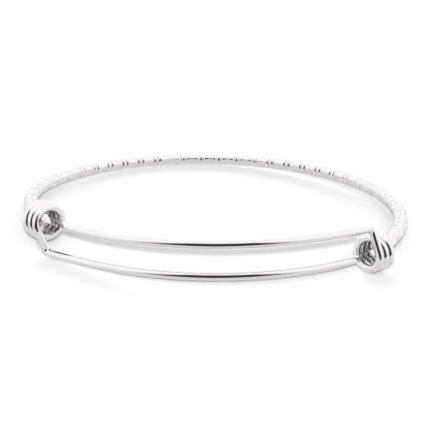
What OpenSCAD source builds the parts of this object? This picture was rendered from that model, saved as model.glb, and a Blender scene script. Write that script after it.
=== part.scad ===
// Expandable wire bangle: one springy wire whose two ends are coiled round the wire's own
// front runs, with a patterned tube over the back of the ring.
// Ring angles are measured in plan from the back of the ring, positive towards the right.
// The left coil and kink are made as a right-hand one and then turned half round the depth axis.

/* [Ring] */
// Radius of the wire's centreline, which gives a 63.5 mm inside diameter
ring_r = 32.8; // [31:0.1:36]
// Depth of the three shallow flats that the forming left in the ring
ring_unround = 0.35; // [0:0.05:0.5]
// Height from the lower front wire to the upper one
wire_spacing = 4.75; // [4.5:0.05:5.5]
// Diameter of the wire
wire_d = 1.25; // [1.1:0.05:1.25]
// How far the middle of the back stands above its straight descent
back_bow = 0.2; // [0:0.05:0.4]

/* [Right coil] */
// Ring angle of the coil's front turn
right_face = 136.3; // [135:0.1:138]
// Advance of the coil in one turn
right_pitch = 1.3; // [1.28:0.02:1.5]
// How far the coil's axis lies outside the wire that passes through it
right_coil_out = 0.38; // [0.2:0.02:0.6]
// How far the coil's axis lies above that wire
right_coil_lift = 0.36; // [0.2:0.02:0.5]
// How far the kink stands outside the ring
right_kink_out = 1.44; // [1.3:0.02:1.6]
// Height of the kink above the middle of the ring
right_kink_up = 2.6; // [2.4:0.05:2.7]
// How far the kink lies ahead of the coil's front turn
right_kink_ahead = 0.56; // [0.4:0.02:0.8]
// Share of the descent that is even on this half of the back
right_descent = 0.6; // [0.5:0.05:1]

/* [Left coil] */
// Ring angle of the coil's front turn
left_face = 130.7; // [130:0.1:132]
// Advance of the coil in one turn
left_pitch = 1.4; // [1.3:0.02:1.5]
// How far the coil's axis lies outside the wire that passes through it
left_coil_out = 0.7; // [0.5:0.02:0.74]
// How far the coil's axis lies below that wire
left_coil_lift = 0.02; // [0:0.02:0.1]
// How far the kink stands outside the ring
left_kink_out = 1.68; // [1.5:0.02:1.8]
// Depth of the kink below the middle of the ring
left_kink_up = 2.15; // [2.05:0.05:2.3]
// How far the kink lies ahead of the coil's front turn
left_kink_ahead = 0; // [-0.2:0.02:0.2]
// Share of the descent that is even on this half of the back
left_descent = 0.95; // [0.5:0.05:1]

/* [Coils and kinks] */
// Radius of the coils, at the wire's centre
coil_r = 2.38; // [2.34:0.02:2.44]
// Number of turns in each coil
coil_turns = 2.75; // [2.5:0.25:2.75]
// Length cut off each side of a kink's corner by its bend
bend_cut = 0.95; // [0.95:0.05:1.3]
// Ring angle over which a front wire bows out to its kink
bow_out_angle = 22; // [15:1:30]

/* [Patterned sleeve] */
// Outside diameter of the sleeve
sleeve_d = 2.2; // [2.1:0.05:2.3]
// Clearance between the wire and the sleeve's bore
bore_clearance = 0.09; // [0.08:0.01:0.12]
// Gap between the sleeve's end and the coil next to it
end_gap = 0.12; // [0.1:0.01:0.3]
// Ring angle from one divider of the pattern to the next
pattern_pitch = 7; // [6.6:0.1:7.4]
// Ring angle of the divider before the one long panel
slip_angle = -24.2; // [-26:0.1:-22]
// Length of the long panel, in pitches
slip_pitches = 1.6; // [1.5:0.1:1.7]
// Ring angle from a divider's middle to the bottom of each of its two grooves
groove_at = 0.96; // [0.8:0.02:1.1]
// Half the width of a groove, as a ring angle
groove_half = 0.54; // [0.4:0.02:0.6]
// Depth of the grooves
groove_depth = 0.21; // [0.1:0.01:0.28]
// Depth of the flat scoops between dividers
scoop_depth = 0.26; // [0.1:0.01:0.28]

/* [Resting pose] */
// Tip of the ring towards the front, as it lies by itself
rest_tip = -3.03; // [-4:0.01:4]
// Lean of the ring towards the right, as it lies by itself
rest_lean = -2.56; // [-4:0.01:4]

/* [Hidden] */

sides = 12;
rings_per_turn = 16;
bend_rings = 6;
front_rings = 14;
back_rings = 80;
wire_r = wire_d / 2;
sleeve_r = sleeve_d / 2;
bore_r = wire_r + bore_clearance;

// Columns of the two rows of side sizes
FACE = 0;
PITCH = 1;
OUT = 2;
LIFT = 3;
KINK_OUT = 4;
KINK_UP = 5;
KINK_AHEAD = 6;
DESCENT = 7;
right = [right_face, right_pitch, right_coil_out, right_coil_lift,
         right_kink_out, right_kink_up, right_kink_ahead, right_descent];
left = [left_face, left_pitch, left_coil_out, left_coil_lift,
        left_kink_out, left_kink_up, left_kink_ahead, left_descent];

up = [0, 0, 1];
function unit(v) = v / norm(v);
function degrees(length) = length / ring_r * 180 / PI;
function mixed(a, b, s) = a * (1 - s) + b * s;
function turned(points) = [for (p = points) [-p.x, p.y, -p.z]];
function reversed(list) = [for (i = [len(list) - 1:-1:0]) list[i]];
function without_first(list) = [for (i = [1:len(list) - 1]) list[i]];

// Ring: plan radius, direction of rising angle, outward normal and a point beside the ring
function radius(a) = ring_r + ring_unround * cos(3 * a);
function radius_slope(a) = -3 * ring_unround * sin(3 * a);
function along(a) = unit([radius_slope(a) * sin(a) + radius(a) * cos(a),
                          radius_slope(a) * cos(a) - radius(a) * sin(a), 0]);
function outward(a) = cross(up, along(a));
function beside(a, out, height) = radius(a) * [sin(a), cos(a), 0] + out * outward(a) + height * up;

// Back of the ring: it descends from the upper level on the left to the lower one on the right
function back_height(a) =
    let (side = a > 0 ? right : left, s = a / side[FACE])
    -wire_spacing / 2 * (side[DESCENT] * s + (1 - side[DESCENT]) * s ^ 3) + back_bow * (1 - s * s);
function back_point(a) = beside(a, 0, back_height(a));

// Front wire of a side, which bows outwards as it nears its kink
function kink_angle(side) = side[FACE] + degrees(side[KINK_AHEAD]);
function front_point(side, a) =
    let (s = max(0, 1 - (a - kink_angle(side)) / bow_out_angle) ^ 2)
    beside(a, s * side[KINK_OUT], mixed(wire_spacing / 2, side[KINK_UP], s));
function front_wire(side, other) =
    let (first = kink_angle(side) + degrees(bend_cut), last = 360 - other[FACE])
    [for (i = [1:front_rings]) front_point(side, mixed(first, last, i / front_rings))];

// Kink and coil of a side: a rounded corner, a straight strand, and turns that recede from the front
function kink_and_coil(side) =
    let (centre = beside(side[FACE], side[OUT], side[LIFT] - wire_spacing / 2),
         back = -along(side[FACE]),
         out = outward(side[FACE]),
         kink = front_point(side, kink_angle(side)),
         reach = [(kink - centre) * out, (kink - centre) * up],
         first = atan2(reach[1], reach[0]) - acos(coil_r / norm(reach)),
         turns = [for (i = [0:coil_turns * rings_per_turn])
             let (a = first - i * 360 / rings_per_turn)
             centre + coil_r * (cos(a) * out + sin(a) * up)
                 + side[PITCH] * i / rings_per_turn * back],
         before = front_point(side, kink_angle(side) + degrees(bend_cut)),
         after = mixed(kink, turns[0], bend_cut / norm(turns[0] - kink)),
         corner = [for (i = [0:bend_rings])
             let (s = i / bend_rings)
             mixed(mixed(before, kink, s), mixed(kink, after, s), s)])
    concat(corner, turns);

// Whole wire, from the end of the right coil to the end of the left coil
back_wire = [for (i = [1:back_rings]) back_point(mixed(-left_face, right_face, i / back_rings))];
wire_path = concat(reversed(kink_and_coil(right)), front_wire(right, left), back_wire,
                   without_first(reversed(turned(front_wire(left, right)))),
                   turned(kink_and_coil(left)));

// Frames that follow a path without twisting
function tangents(path) =
    [for (i = [0:len(path) - 1]) unit(path[min(i + 1, len(path) - 1)] - path[max(i - 1, 0)])];
function squared(normal, tangent) = unit(normal - (normal * tangent) * tangent);
function carried(ts, start) =
    [for (i = 0, n = squared(start, ts[0]); i < len(ts);
          i = i + 1, n = squared(n, ts[min(i, len(ts) - 1)])) n];

// Faces of a tube whose rings are listed one after another
function tube_faces(rings, first) =
    [for (i = [0:rings - 2]) for (j = [0:sides - 1])
        let (k = (j + 1) % sides, here = first + i * sides, next = here + sides)
        [here + j, next + j, next + k, here + k]];
function flipped(faces) = [for (f = faces) reversed(f)];

// Points of the wire's surface
wire_ahead = tangents(wire_path);
wire_aside = carried(wire_ahead, up);
wire_points = [for (i = [0:len(wire_path) - 1]) for (j = [0:sides - 1])
    let (a = 360 * j / sides)
    wire_path[i] + wire_r * (cos(a) * wire_aside[i] + sin(a) * cross(wire_ahead[i], wire_aside[i]))];

// Sleeve: its ends, and the dividers from which its panels start
coil_depth_right = coil_turns * right_pitch + wire_r + end_gap;
coil_depth_left = coil_turns * left_pitch + wire_r + end_gap;
sleeve_from = -left_face + degrees(coil_depth_left);
sleeve_to = right_face - degrees(coil_depth_right);
slip_width = slip_pitches * pattern_pitch;
main_from = slip_angle + slip_width;
left_panels = floor((slip_angle - sleeve_from) / pattern_pitch);
main_panels = floor((sleeve_to - main_from) / pattern_pitch);
ridge_at = groove_at - groove_half;
shoulder_at = groove_at + groove_half;
scoop_steps = 4;
scoop_fullness = 0.5;
facets = 4;
facet_turn = 360 / facets;
facet_middle = 27;

// Columns of a station of the sleeve: ring angle, share of the groove and share of the scoop
ANGLE = 0;
GROOVE = 1;
SCOOP = 2;
function panel(start, width) = concat(
    [[start + ridge_at, 0, 0], [start + groove_at, 1, 0], [start + shoulder_at, 0, 0]],
    [for (i = [1:scoop_steps - 1])
        let (s = i / scoop_steps)
        [mixed(start + shoulder_at, start + width - shoulder_at, s), 0, sin(180 * s) ^ scoop_fullness]],
    [[start + width - shoulder_at, 0, 0], [start + width - groove_at, 1, 0],
     [start + width - ridge_at, 0, 0]]);
stations = concat(
    [[sleeve_from, 0, 0]],
    [for (i = [left_panels:-1:1]) each panel(slip_angle - i * pattern_pitch, pattern_pitch)],
    panel(slip_angle, slip_width),
    [for (i = [0:main_panels - 1]) each panel(main_from + i * pattern_pitch, pattern_pitch)],
    [[sleeve_to, 0, 0]]);

// Ring of points round the back of the wire, from a corner between two facets.
// Section angle 0 faces the ring's middle and 90 faces down.
function section(a, radii) =
    let (ahead = unit(back_point(a + 0.1) - back_point(a - 0.1)),
         inner = -outward(a),
         under = cross(ahead, inner))
    [for (j = [0:sides - 1])
        let (t = facet_middle + facet_turn / 2 + 360 * j / sides)
        back_point(a) + radii[j] * (cos(t) * inner + sin(t) * under)];
// Radii of a station's ring: the grooves run evenly round it and the scoops are flat
function station_radii(station) = [for (j = [0:sides - 1])
    let (turn = (360 * j / sides) % facet_turn - facet_turn / 2,
         flat = (sleeve_r - scoop_depth * station[SCOOP]) / cos(turn))
    min(sleeve_r, flat) - groove_depth * station[GROOVE]];

// Points of the sleeve's outside and of its bore
bore_rings = round((sleeve_to - sleeve_from) / (left_face + right_face) * back_rings);
bore = [for (j = [1:sides]) bore_r];
outer = [for (s = stations) each section(s[ANGLE], station_radii(s))];
inner = [for (i = [0:bore_rings]) each section(mixed(sleeve_from, sleeve_to, i / bore_rings), bore)];

// The whole bangle lies by itself on the plane z = 0, centred over the origin
function tipped(p) = [p.x, p.y * cos(rest_tip) - p.z * sin(rest_tip),
                      p.y * sin(rest_tip) + p.z * cos(rest_tip)];
function leaned(p) = [p.x * cos(rest_lean) + p.z * sin(rest_lean), p.y,
                      p.z * cos(rest_lean) - p.x * sin(rest_lean)];
lying = [for (p = concat(wire_points, outer)) leaned(tipped(p))];
low = [for (i = [0:2]) min([for (p = lying) p[i]])];
high = [for (i = [0:2]) max([for (p = lying) p[i]])];
module resting() {
    translate([-(low.x + high.x) / 2, -(low.y + high.y) / 2, -low.z])
        rotate([rest_tip, rest_lean, 0]) children();
}

module spring_wire() {
    last = len(wire_points) - sides;
    ends = [[for (j = [0:sides - 1]) j], [for (j = [sides - 1:-1:0]) last + j]];
    color([0.82, 0.82, 0.83])
        resting() polyhedron(wire_points, concat(tube_faces(len(wire_path), 0), ends), convexity = 10);
}

module patterned_sleeve() {
    first_inner = len(outer);
    outer_last = len(outer) - sides;
    inner_last = first_inner + len(inner) - sides;
    rims = [for (j = [0:sides - 1])
        let (k = (j + 1) % sides)
        each [[first_inner + j, j, k, first_inner + k],
              [outer_last + j, inner_last + j, inner_last + k, outer_last + k]]];
    color([0.86, 0.86, 0.87])
        resting() polyhedron(
            concat(outer, inner),
            concat(tube_faces(len(stations), 0), flipped(tube_faces(bore_rings + 1, first_inner)), rims),
            convexity = 10);
}

spring_wire();
patterned_sleeve();
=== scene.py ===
# Expandable wire bangle: smooth versions of its wire and patterned sleeve, its metals, and a white studio.
# Ring angles are measured in plan from the back of the ring, positive towards the right, in degrees.
# Sizes are millimetres in the ring's own frame; lie() takes them to the frame that the bangle lies in.
import math
import bpy
import numpy as np
from mathutils import Matrix, Vector


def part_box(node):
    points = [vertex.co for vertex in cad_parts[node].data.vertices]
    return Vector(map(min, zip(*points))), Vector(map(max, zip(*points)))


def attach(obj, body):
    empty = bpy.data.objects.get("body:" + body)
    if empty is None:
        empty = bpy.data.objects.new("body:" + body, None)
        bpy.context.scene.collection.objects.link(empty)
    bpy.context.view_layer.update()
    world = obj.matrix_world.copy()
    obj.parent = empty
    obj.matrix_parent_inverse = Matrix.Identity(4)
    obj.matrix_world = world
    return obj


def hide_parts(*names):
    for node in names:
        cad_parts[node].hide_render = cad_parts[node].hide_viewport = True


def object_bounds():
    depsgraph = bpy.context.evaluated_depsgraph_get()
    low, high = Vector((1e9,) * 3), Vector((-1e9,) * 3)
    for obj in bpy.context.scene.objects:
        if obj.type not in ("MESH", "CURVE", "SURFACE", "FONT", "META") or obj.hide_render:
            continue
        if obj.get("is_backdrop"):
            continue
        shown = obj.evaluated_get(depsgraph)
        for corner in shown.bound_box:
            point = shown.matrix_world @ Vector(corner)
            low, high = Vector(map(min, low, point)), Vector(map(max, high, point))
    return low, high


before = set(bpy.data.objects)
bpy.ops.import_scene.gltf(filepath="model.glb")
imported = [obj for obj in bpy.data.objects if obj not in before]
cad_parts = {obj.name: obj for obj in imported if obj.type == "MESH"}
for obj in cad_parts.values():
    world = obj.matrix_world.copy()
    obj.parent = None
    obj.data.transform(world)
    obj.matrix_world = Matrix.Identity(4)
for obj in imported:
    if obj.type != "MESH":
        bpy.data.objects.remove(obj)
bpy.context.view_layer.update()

# Ring: radius of the wire's centreline, depth and number of the shallow flats left by the forming, height
# from the lower front wire to the upper one, radius of the wire, and rise of the middle of the back above
# its straight descent
RING_R = 32.8
RING_UNROUND = 0.35
RING_FLATS = 3
WIRE_SPACING = 4.75
WIRE_R = 0.625
BACK_BOW = 0.2

# Sides: ring angle of the coil's face, advance per turn, offset and lift of the coil's axis,
# kink's place outside the ring, above its middle and ahead of the coil, and even share of the descent
RIGHT = {"face": 136.3, "pitch": 1.3, "out": 0.38, "lift": 0.36,
         "kink_out": 1.44, "kink_up": 2.6, "kink_ahead": 0.56, "descent": 0.6}
LEFT = {"face": 130.7, "pitch": 1.4, "out": 0.7, "lift": 0.02,
        "kink_out": 1.68, "kink_up": 2.15, "kink_ahead": 0, "descent": 0.95}

# Coils and kinks: radius at the wire's centre, number of turns, length that a bend cuts off each side of
# its corner, ring angle over which a front wire bows out to its kink, and height of the domes on the
# wire's ends as a share of its radius
COIL_R = 2.38
COIL_TURNS = 2.75
BEND_CUT = 0.95
BOW_OUT_ANGLE = 22
END_DOME = 0.35

# Sleeve: outside and bore radius, gap to the coils and rounding of its rims
SLEEVE_R = 1.1
BORE_R = 0.715
END_GAP = 0.12
RIM_ROUND = 0.12

# Rolled pattern, as ring angles: from one divider to the next, the divider before the long panel, and the
# place and half width of each divider's two grooves. Then the long panel's length in pitches, and the
# grooves' depth in mm
PATTERN_PITCH = 7
SLIP_ANGLE = -24.2
GROOVE_AT = 0.96
GROOVE_HALF = 0.54
SLIP_PITCHES = 1.6
GROOVE_DEPTH = 0.21

# Scoops between the dividers: depth, power of their curve along the ring, number round the sleeve, and
# section angle of the middle of the first one
SCOOP_DEPTH = 0.26
SCOOP_FULLNESS = 0.5
FACETS = 4
FACET_MIDDLE = 27

# Resting pose: tip towards the front and lean towards the right
REST_TIP = -3.03
REST_LEAN = -2.56

# Fineness of the meshes, and the ring angle over which the back's direction is taken
WIRE_SIDES = 48
SLEEVE_SIDES = 64
RINGS_PER_TURN = 96
BEND_RINGS = 24
DOME_RINGS = 8
FRONT_RINGS = 110
BACK_RINGS = 240
FLANK_RINGS = 5
PANEL_RINGS = 12
RIDGE_RINGS = 3
BORE_RINGS = 120
RIM_RINGS = 6
DIRECTION_SPAN = 0.1

# Metals: colour, roughness and how far patches of the polish vary it, and height of the ripple in metres
WIRE_METAL = {"colour": (0.622, 0.61, 0.614), "roughness": 0.06, "spread": 0.02, "ripple": 0.000002}
SLEEVE_METAL = {"colour": (0.622, 0.608, 0.614), "roughness": 0.25, "spread": 0.04, "ripple": 0.000003}
PATCHES_PER_METRE = 900
PATCH_DETAIL = 3
RIPPLES_PER_METRE = 350
RIPPLE_DETAIL = 2

# Dark figure in front: azimuth, foot and head, half widths at both, rise of its foot for each degree to the
# side, and fade of its foot and head, in degrees; fade of its sides in half widths; and its tone
FIGURE_AZIMUTH = 1
FIGURE_FOOT = -22
FIGURE_HEAD = 44
FIGURE_WIDE = 48
FIGURE_NARROW = 22
FIGURE_RISE = 0.35
FIGURE_FADE = 14
FIGURE_SIDE_FADE = (0.55, 1.3)
FIGURE_TONE = 0.035

# White world: strength, tone below, and the heights in degrees between which it grows to full white
WORLD_STRENGTH = 1.5
WORLD_BELOW = 0.68
WORLD_DIM_HEIGHTS = (-60, 30)

# Floor: its size in metres, its tones near the bangle and far off, which are painted light that evens out
# the lamps, and where the change begins and ends, in mm
FLOOR_SIZE = 30
FLOOR_FRONT_TONE = 0.097
FLOOR_BACK_TONE = 0.11
FLOOR_FAR_TONE = 0.85
FLOOR_NEAR = 37
FLOOR_FAR = 80

# Small lamp: height above the camera and size in mm, and power in watts
LAMP_ABOVE = 9
LAMP_SIZE = 8
LAMP_POWER = 1.95

# Strip lamps: distance and width in mm, then for each its angle up from the floor in front, height in mm
# and power in watts
STRIP_AWAY = 300
STRIP_WIDTH = 300
STRIPS = {"front_strip": {"angle": 39, "height": 140, "power": 1.0},
          "back_strip": {"angle": 166, "height": 100, "power": 2.0}}

# Camera: distance in mm, height angle above the ring's plane and nearest distance seen in mm, then focal
# length, place of the ring's middle and width of the frame in pixels
CAMERA_DISTANCE = 139.4
CAMERA_HEIGHT = 15.55
CAMERA_NEAREST = 10
CAMERA_FOCAL = 760.7
RING_MIDDLE = (215.8, 198.8)
FRAME = 440

# A millimetre in metres, the ring's own upward direction, and the turn from its frame to the resting one
MM = 0.001
UP = np.array([0.0, 0.0, 1.0])
RESTING = (Matrix.Rotation(math.radians(REST_LEAN), 4, "Y")
           @ Matrix.Rotation(math.radians(REST_TIP), 4, "X"))


def mixed(a, b, s):
    """The value that lies a share s of the way from a to b."""
    return a * (1 - s) + b * s


def degrees(length):
    """Ring angle that a length along the ring takes."""
    return math.degrees(length / RING_R)


def unit(v):
    """Vectors of length one in the same directions."""
    return v / np.linalg.norm(v, axis=-1, keepdims=True)


def turned(points):
    """A right-hand half turned round the depth axis, which makes the left-hand one."""
    return points * np.array([-1, 1, -1])


# Ring

def ring_radius(turn):
    """Radius of the ring at ring angles in radians."""
    return RING_R + RING_UNROUND * np.cos(RING_FLATS * turn)


def along(a):
    """Direction of rising ring angle."""
    turn = np.radians(np.atleast_1d(a))
    r = ring_radius(turn)
    slope = -RING_FLATS * RING_UNROUND * np.sin(RING_FLATS * turn)
    x = slope * np.sin(turn) + r * np.cos(turn)
    y = slope * np.cos(turn) - r * np.sin(turn)
    return unit(np.column_stack([x, y, 0 * turn]))


def outward(a):
    """Level direction out of the ring."""
    return np.cross(UP, along(a))


def beside(a, out, height):
    """Points beside the ring at ring angles a, so far out of it and so high above its middle."""
    turn = np.radians(np.atleast_1d(a).astype(float))
    r = ring_radius(turn)
    plan = np.column_stack([r * np.sin(turn), r * np.cos(turn), 0 * turn])
    return plan + outward(a) * np.reshape(out, (-1, 1)) + UP * np.reshape(height, (-1, 1))


def back_height(a):
    """The back descends from the upper level on the left to the lower one on the right."""
    face = np.where(a > 0, RIGHT["face"], LEFT["face"])
    even = np.where(a > 0, RIGHT["descent"], LEFT["descent"])
    s = a / face
    return -WIRE_SPACING / 2 * (even * s + (1 - even) * s ** 3) + BACK_BOW * (1 - s * s)


def back_point(a):
    """Points on the wire's centreline round the back."""
    return beside(a, 0 * a, back_height(a))


# Wire

def kink_angle(side):
    """Ring angle of a kink's corner."""
    return side["face"] + degrees(side["kink_ahead"])


def front_point(side, a):
    """A front wire bows outwards as it nears its kink."""
    a = np.atleast_1d(a).astype(float)
    s = np.clip(1 - (a - kink_angle(side)) / BOW_OUT_ANGLE, 0, None) ** 2
    return beside(a, s * side["kink_out"], mixed(WIRE_SPACING / 2, side["kink_up"], s))


def front_wire(side, other):
    """From the bend of this side's kink to the coil on the other side."""
    first = kink_angle(side) + degrees(BEND_CUT)
    return front_point(side, np.linspace(first, 360 - other["face"], FRONT_RINGS + 1)[1:])


def kink_and_coil(side):
    """A rounded corner, a straight strand, and turns that recede from the front."""
    centre = beside(side["face"], side["out"], side["lift"] - WIRE_SPACING / 2)[0]
    back = -along(side["face"])[0]
    out = outward(side["face"])[0]
    kink = front_point(side, kink_angle(side))[0]
    reach = kink - centre
    across = math.hypot(reach @ out, reach @ UP)
    first = math.atan2(reach @ UP, reach @ out) - math.acos(COIL_R / across)
    step = np.arange(int(COIL_TURNS * RINGS_PER_TURN) + 1) / RINGS_PER_TURN
    a = first - 2 * math.pi * step
    turns = (centre + COIL_R * (np.outer(np.cos(a), out) + np.outer(np.sin(a), UP))
             + np.outer(side["pitch"] * step, back))
    before = front_point(side, kink_angle(side) + degrees(BEND_CUT))[0]
    after = mixed(kink, turns[0], BEND_CUT / np.linalg.norm(turns[0] - kink))
    s = np.linspace(0, 1, BEND_RINGS + 1)[:, None]
    corner = mixed(mixed(before, kink, s), mixed(kink, after, s), s)
    strand = mixed(after, turns[0], np.linspace(0, 1, BEND_RINGS + 1)[1:-1, None])
    return np.vstack([corner, strand, turns])


def wire_path():
    """The wire's centreline, from the end of the right coil to the end of the left coil."""
    a = np.linspace(-LEFT["face"], RIGHT["face"], BACK_RINGS + 1)[1:]
    return np.vstack([kink_and_coil(RIGHT)[::-1], front_wire(RIGHT, LEFT), back_point(a),
                      turned(front_wire(LEFT, RIGHT))[::-1][1:], turned(kink_and_coil(LEFT))])


def frames(path):
    """Directions along and beside a path, carried along it without twist."""
    ahead = unit(np.gradient(path, axis=0))
    aside = np.zeros_like(path)
    normal = UP
    for i, t in enumerate(ahead):
        normal = unit(normal - (normal @ t) * t)
        aside[i] = normal
    return ahead, aside, np.cross(ahead, aside)


# Meshes

def lie(points):
    """From the ring's frame, in mm, to the frame that the bangle lies in, in metres."""
    return points @ np.array(RESTING.to_3x3()).T * MM


def tube_quads(rings, sides, first=0, inside=False):
    """Quads of a tube whose rings of vertices are listed one after another."""
    i, j = np.meshgrid(np.arange(rings - 1), np.arange(sides), indexing="ij")
    here = first + i * sides
    k = (j + 1) % sides
    order = [here + j, here + k, here + sides + k, here + sides + j]
    if inside:
        order = order[::-1]
    return np.stack(order, -1).reshape(-1, 4).tolist()


def make_piece(name, points, faces, material):
    """A smooth piece from points in the row's frame, in metres."""
    mesh = bpy.data.meshes.new(name)
    mesh.from_pydata(points.tolist(), [], faces)
    mesh.validate()
    mesh.shade_smooth()
    mesh.materials.append(material)
    piece = bpy.data.objects.new(name, mesh)
    bpy.context.scene.collection.objects.link(piece)
    return piece


def with_domes(rows):
    """Rows along the path, with the first and the last repeated for the rings of the domes."""
    return np.vstack([np.repeat(rows[:1], DOME_RINGS, 0), rows[1:-1], np.repeat(rows[-1:], DOME_RINGS, 0)])


def make_wire():
    """The whole wire, whose two ends are cut and lightly domed."""
    path = wire_path()
    between = np.zeros(len(path) - 2)
    path, ahead, aside, other = [with_domes(rows) for rows in (path, *frames(path))]
    dome = np.radians(np.linspace(0, 90, DOME_RINGS + 1)[1:])
    push = END_DOME * WIRE_R * np.cos(dome)
    pushes = np.concatenate([-push, between, push[::-1]])
    radii = WIRE_R * np.concatenate([np.sin(dome), between + 1, np.sin(dome)[::-1]])
    centres = path + pushes[:, None] * ahead
    turn = np.radians(np.arange(WIRE_SIDES) * 360 / WIRE_SIDES)[None, :, None]
    rim = np.cos(turn) * aside[:, None] + np.sin(turn) * other[:, None]
    points = (centres[:, None] + radii[:, None, None] * rim).reshape(-1, 3)
    faces = tube_quads(len(path), WIRE_SIDES)
    last = len(points) - WIRE_SIDES
    faces.append(list(range(WIRE_SIDES))[::-1])
    faces.append([last + j for j in range(WIRE_SIDES)])
    return points, faces


# Sleeve

def sleeve_ends():
    """Ring angles at which the sleeve ends, just behind the two coils."""
    left = -LEFT["face"] + degrees(COIL_TURNS * LEFT["pitch"] + WIRE_R + END_GAP)
    right = RIGHT["face"] - degrees(COIL_TURNS * RIGHT["pitch"] + WIRE_R + END_GAP)
    return left, right


def dividers():
    """Ring angles of the pattern's dividers; one panel is longer than the others."""
    left, right = sleeve_ends()
    main = SLIP_ANGLE + SLIP_PITCHES * PATTERN_PITCH
    before = int((SLIP_ANGLE - left) / PATTERN_PITCH)
    after = int((right - main) / PATTERN_PITCH)
    return np.concatenate([SLIP_ANGLE - PATTERN_PITCH * np.arange(before, -1, -1),
                           main + PATTERN_PITCH * np.arange(after + 1)])


def sleeve_rings():
    """Ring angles of the sleeve's sections, close together in the grooves."""
    left, right = sleeve_ends()
    ridge = GROOVE_AT - GROOVE_HALF
    shoulder = GROOVE_AT + GROOVE_HALF
    marks = dividers()
    half = np.concatenate([np.linspace(ridge, GROOVE_AT, FLANK_RINGS + 1)[:-1],
                           np.linspace(GROOVE_AT, shoulder, FLANK_RINGS + 1)])
    top = np.linspace(-ridge / 2, ridge / 2, RIDGE_RINGS)
    groove_rings = (marks[:, None] + np.concatenate([-half[::-1], top, half])).ravel()
    starts = np.concatenate([[left], marks + shoulder])
    ends = np.concatenate([marks - shoulder, [right]])
    share = np.arange(1, PANEL_RINGS) / PANEL_RINGS
    panel_rings = mixed(starts[:, None], ends[:, None], share).ravel()
    # The rims are rounded over
    rim = degrees(RIM_ROUND) * (1 - np.cos(np.radians(np.linspace(0, 90, RIM_RINGS))))
    rings = np.unique(np.concatenate([left + rim, groove_rings, panel_rings, right - rim]))
    return rings[(rings >= left) & (rings <= right)]


def sleeve_radii(a, t):
    """Outside radii at ring angles a and section angles t: grooves at the dividers, flat scoops between."""
    marks = dividers()
    off = np.abs(a[:, None] - marks).min(1)[:, None]
    inside = ((a > marks[0]) & (a < marks[-1]))[:, None]
    groove = inside * np.clip(1 - np.abs(off - GROOVE_AT) / GROOVE_HALF, 0, 1)
    after = np.clip(np.searchsorted(marks, a), 1, len(marks) - 1)
    shoulder = GROOVE_AT + GROOVE_HALF
    start = marks[after - 1] + shoulder
    end = marks[after] - shoulder
    share = np.clip((a - start) / (end - start), 0, 1)[:, None]
    scoop = SCOOP_DEPTH * np.sin(np.pi * share) ** SCOOP_FULLNESS
    facet = 360 / FACETS
    turn = np.radians((t - FACET_MIDDLE + facet / 2) % facet - facet / 2)
    return np.minimum(SLEEVE_R, (SLEEVE_R - scoop) / np.cos(turn)) - GROOVE_DEPTH * groove


def section(a, radii, t):
    """Rings of points round the back wire; section angle 0 faces the ring's middle and 90 faces down."""
    ahead = unit(back_point(a + DIRECTION_SPAN / 2) - back_point(a - DIRECTION_SPAN / 2))
    inner = -outward(a)
    under = np.cross(ahead, inner)
    turn = np.radians(t)[None, :, None]
    rim = np.cos(turn) * inner[:, None] + np.sin(turn) * under[:, None]
    return (back_point(a)[:, None] + radii[:, :, None] * rim).reshape(-1, 3)


def make_sleeve():
    """The tube with its pattern outside, its plain bore and its rounded rims."""
    left, right = sleeve_ends()
    t = FACET_MIDDLE + np.arange(SLEEVE_SIDES) * 360 / SLEEVE_SIDES
    a = sleeve_rings()
    rounding = np.clip(1 - np.minimum(a - left, right - a) / degrees(RIM_ROUND), 0, 1)
    outer_r = sleeve_radii(a, t[None, :]) - RIM_ROUND * (1 - np.sqrt(1 - rounding ** 2))[:, None]
    outer = section(a, outer_r, t)
    b = np.linspace(left, right, BORE_RINGS)
    inner = section(b, np.full((len(b), SLEEVE_SIDES), BORE_R), t)
    faces = tube_quads(len(a), SLEEVE_SIDES)
    faces += tube_quads(len(b), SLEEVE_SIDES, len(outer), inside=True)
    # A flat face joins the outside and the bore at each end
    bore = len(outer)
    outer_end = bore - SLEEVE_SIDES
    bore_end = bore + len(inner) - SLEEVE_SIDES
    for j in range(SLEEVE_SIDES):
        k = (j + 1) % SLEEVE_SIDES
        faces.append([j, bore + j, bore + k, k])
        faces.append([outer_end + j, outer_end + k, bore_end + k, bore_end + j])
    return np.vstack([outer, inner]), faces


# Metals

def make_metal(name, colour, roughness, spread, ripple):
    """Bright metal whose polish varies faintly in patches and whose surface ripples slightly."""
    metal = bpy.data.materials.new(name)
    metal.use_nodes = True
    nodes, links = metal.node_tree.nodes, metal.node_tree.links
    shader = nodes["Principled BSDF"]
    shader.inputs["Base Color"].default_value = (*colour, 1)
    shader.inputs["Metallic"].default_value = 1
    place = nodes.new("ShaderNodeTexCoord")
    patches = nodes.new("ShaderNodeTexNoise")
    patches.inputs["Scale"].default_value = PATCHES_PER_METRE
    patches.inputs["Detail"].default_value = PATCH_DETAIL
    links.new(place.outputs["Object"], patches.inputs["Vector"])
    polish = nodes.new("ShaderNodeMapRange")
    polish.inputs["To Min"].default_value = roughness - spread
    polish.inputs["To Max"].default_value = roughness + spread
    links.new(patches.outputs["Fac"], polish.inputs["Value"])
    links.new(polish.outputs["Result"], shader.inputs["Roughness"])
    waves = nodes.new("ShaderNodeTexNoise")
    waves.inputs["Scale"].default_value = RIPPLES_PER_METRE
    waves.inputs["Detail"].default_value = RIPPLE_DETAIL
    links.new(place.outputs["Object"], waves.inputs["Vector"])
    bump = nodes.new("ShaderNodeBump")
    bump.inputs["Strength"].default_value = 1
    bump.inputs["Distance"].default_value = ripple
    links.new(waves.outputs["Fac"], bump.inputs["Height"])
    links.new(bump.outputs["Normal"], shader.inputs["Normal"])
    return metal


# Studio

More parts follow.
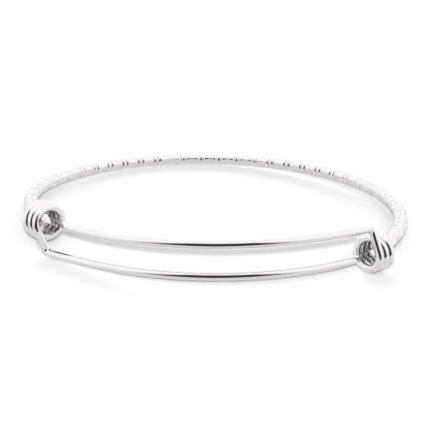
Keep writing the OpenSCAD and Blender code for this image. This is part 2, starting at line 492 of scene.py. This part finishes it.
def make_world():
    """White all round, a little dimmer below, with a dark figure in front, behind the camera."""
    world = bpy.data.worlds.new("studio")
    bpy.context.scene.world = world
    world.use_nodes = True
    nodes, links = world.node_tree.nodes, world.node_tree.links

    def math_node(operation, first, second=0.0):
        node = nodes.new("ShaderNodeMath")
        node.operation = operation
        for socket, value in zip(node.inputs, (first, second)):
            if isinstance(value, (int, float)):
                socket.default_value = value
            else:
                links.new(value, socket)
        return node.outputs[0]

    def ramp(value, start, end, low, high, kind="SMOOTHSTEP"):
        node = nodes.new("ShaderNodeMapRange")
        node.interpolation_type = kind
        for name, number in zip(("From Min", "From Max", "To Min", "To Max"), (start, end, low, high)):
            node.inputs[name].default_value = number
        links.new(value, node.inputs["Value"])
        return node.outputs["Result"]

    place = nodes.new("ShaderNodeTexCoord")
    split = nodes.new("ShaderNodeSeparateXYZ")
    links.new(place.outputs["Generated"], split.inputs["Vector"])
    forward = math_node("MULTIPLY", split.outputs["Y"], -1.0)
    azimuth = math_node("DEGREES", math_node("ARCTAN2", split.outputs["X"], forward))
    height = math_node("DEGREES", math_node("ARCSINE", split.outputs["Z"]))
    # The figure's half width narrows from its foot to its head, and its foot rises on both sides
    half = ramp(height, FIGURE_FOOT, FIGURE_HEAD, FIGURE_WIDE, FIGURE_NARROW, "LINEAR")
    aside = math_node("ABSOLUTE", math_node("SUBTRACT", azimuth, FIGURE_AZIMUTH))
    side = ramp(math_node("DIVIDE", aside, half), *FIGURE_SIDE_FADE, 0.0, 1.0)
    foot = math_node("ADD", math_node("MULTIPLY", aside, FIGURE_RISE), FIGURE_FOOT)
    under = ramp(math_node("SUBTRACT", height, foot), -FIGURE_FADE, 0.0, 1.0, 0.0)
    over = ramp(height, FIGURE_HEAD - FIGURE_FADE, FIGURE_HEAD + FIGURE_FADE, 0.0, 1.0)
    clear = math_node("MAXIMUM", math_node("MAXIMUM", side, under), over)
    tone = ramp(height, *WORLD_DIM_HEIGHTS, WORLD_BELOW, 1.0)
    lit = math_node("MAXIMUM", math_node("MULTIPLY", clear, tone), FIGURE_TONE)
    background = nodes["Background"]
    links.new(lit, background.inputs["Color"])
    background.inputs["Strength"].default_value = WORLD_STRENGTH


def make_floor(low):
    """Pale paper under the bangle, which isn't seen in the metal."""
    bpy.ops.mesh.primitive_plane_add(size=FLOOR_SIZE, location=(0, 0, low))
    floor = bpy.context.object
    floor.name = "floor"
    paper = bpy.data.materials.new("pale_paper")
    paper.use_nodes = True
    nodes, links = paper.node_tree.nodes, paper.node_tree.links
    shader = nodes["Principled BSDF"]
    # Painted light: the paper's colour is darker round the bangle, where the lamps light it, and most of
    # all in front, and paler far off, so that it all renders evenly white
    place = nodes.new("ShaderNodeTexCoord")
    split = nodes.new("ShaderNodeSeparateXYZ")
    links.new(place.outputs["Object"], split.inputs["Vector"])
    near = nodes.new("ShaderNodeMapRange")
    near.inputs["From Min"].default_value = -FLOOR_NEAR * MM
    near.inputs["From Max"].default_value = FLOOR_NEAR * MM
    near.inputs["To Min"].default_value = FLOOR_FRONT_TONE
    near.inputs["To Max"].default_value = FLOOR_BACK_TONE
    links.new(split.outputs["Y"], near.inputs["Value"])
    reach = nodes.new("ShaderNodeVectorMath")
    reach.operation = "LENGTH"
    links.new(place.outputs["Object"], reach.inputs[0])
    tone = nodes.new("ShaderNodeMapRange")
    tone.interpolation_type = "SMOOTHSTEP"
    tone.inputs["From Min"].default_value = FLOOR_NEAR * MM
    tone.inputs["From Max"].default_value = FLOOR_FAR * MM
    links.new(near.outputs["Result"], tone.inputs["To Min"])
    tone.inputs["To Max"].default_value = FLOOR_FAR_TONE
    links.new(reach.outputs["Value"], tone.inputs["Value"])
    links.new(tone.outputs["Result"], shader.inputs["Base Color"])
    shader.inputs["Roughness"].default_value = 1
    shader.inputs["Specular IOR Level"].default_value = 0
    floor.data.materials.append(paper)
    floor.visible_glossy = False
    floor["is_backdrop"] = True


def make_lamp(name, place, width, height, power):
    """A lamp that faces the bangle, lights the floor evenly and isn't seen in the metal."""
    lamp = bpy.data.lights.new(name, "AREA")
    lamp.shape = "ELLIPSE"
    lamp.size = width * MM
    lamp.size_y = height * MM
    lamp.energy = power
    lamp.use_nodes = True
    nodes, links = lamp.node_tree.nodes, lamp.node_tree.links
    falloff = nodes.new("ShaderNodeLightFalloff")
    falloff.inputs["Strength"].default_value = 1 / (CAMERA_DISTANCE * MM) ** 2
    links.new(falloff.outputs["Constant"], nodes["Emission"].inputs["Strength"])
    light = bpy.data.objects.new(name, lamp)
    light.matrix_world = Matrix.Translation(place) @ (-place).to_track_quat("-Z", "Y").to_matrix().to_4x4()
    light.visible_camera = False
    light.visible_glossy = False
    bpy.context.scene.collection.objects.link(light)


def make_lamps(to_row):
    """A small lamp just above the camera, and softer strips in front and behind."""
    place = to_row @ (camera_place() + Vector((0, 0, LAMP_ABOVE * MM)))
    make_lamp("small_lamp", place, LAMP_SIZE, LAMP_SIZE, LAMP_POWER)
    for name, strip in STRIPS.items():
        angle = math.radians(strip["angle"])
        place = STRIP_AWAY * MM * Vector((0, -math.cos(angle), math.sin(angle)))
        make_lamp(name, place, STRIP_WIDTH, strip["height"], strip["power"])


def camera_place():
    """Where the camera stands, in the ring's frame and in metres."""
    distance = CAMERA_DISTANCE * MM
    elevation = math.radians(CAMERA_HEIGHT)
    return Vector((0, -distance * math.cos(elevation), distance * math.sin(elevation)))


def make_camera(to_row):
    """The photo's view."""
    frame_middle = (FRAME - 1) / 2
    data = bpy.data.cameras.new("camera")
    data.lens = CAMERA_FOCAL / FRAME * data.sensor_width
    data.shift_x = (frame_middle - RING_MIDDLE[0]) / FRAME
    data.shift_y = (RING_MIDDLE[1] - frame_middle) / FRAME
    data.clip_start = CAMERA_NEAREST * MM
    camera = bpy.data.objects.new("camera", data)
    place = camera_place()
    view = (-place).to_track_quat("-Z", "Y").to_matrix().to_4x4()
    camera.matrix_world = to_row @ Matrix.Translation(place) @ view
    bpy.context.scene.collection.objects.link(camera)
    bpy.context.scene.camera = camera


polished = make_metal("polished_wire", **WIRE_METAL)
rolled = make_metal("patterned_tube", **SLEEVE_METAL)

wire_points, wire_faces = make_wire()
sleeve_points, sleeve_faces = make_sleeve()
wire_points = lie(wire_points)
sleeve_points = lie(sleeve_points)

# Both pieces are moved together, so that the smooth wire has the same middle as the solid one
low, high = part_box("spring_wire")
shift = (np.array(low) + np.array(high)) / 2 - (wire_points.min(0) + wire_points.max(0)) / 2
wire = make_piece("wire", wire_points + shift, wire_faces, polished)
sleeve = make_piece("sleeve", sleeve_points + shift, sleeve_faces, rolled)

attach(wire, "root")
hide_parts("spring_wire")
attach(sleeve, "root")
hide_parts("patterned_sleeve")

ring_to_row = Matrix.Translation(Vector(shift)) @ RESTING
make_world()
make_lamps(ring_to_row)
make_camera(ring_to_row)
make_floor(min(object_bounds()[0].z, 0))
bpy.context.scene.view_settings.view_transform = "Standard"
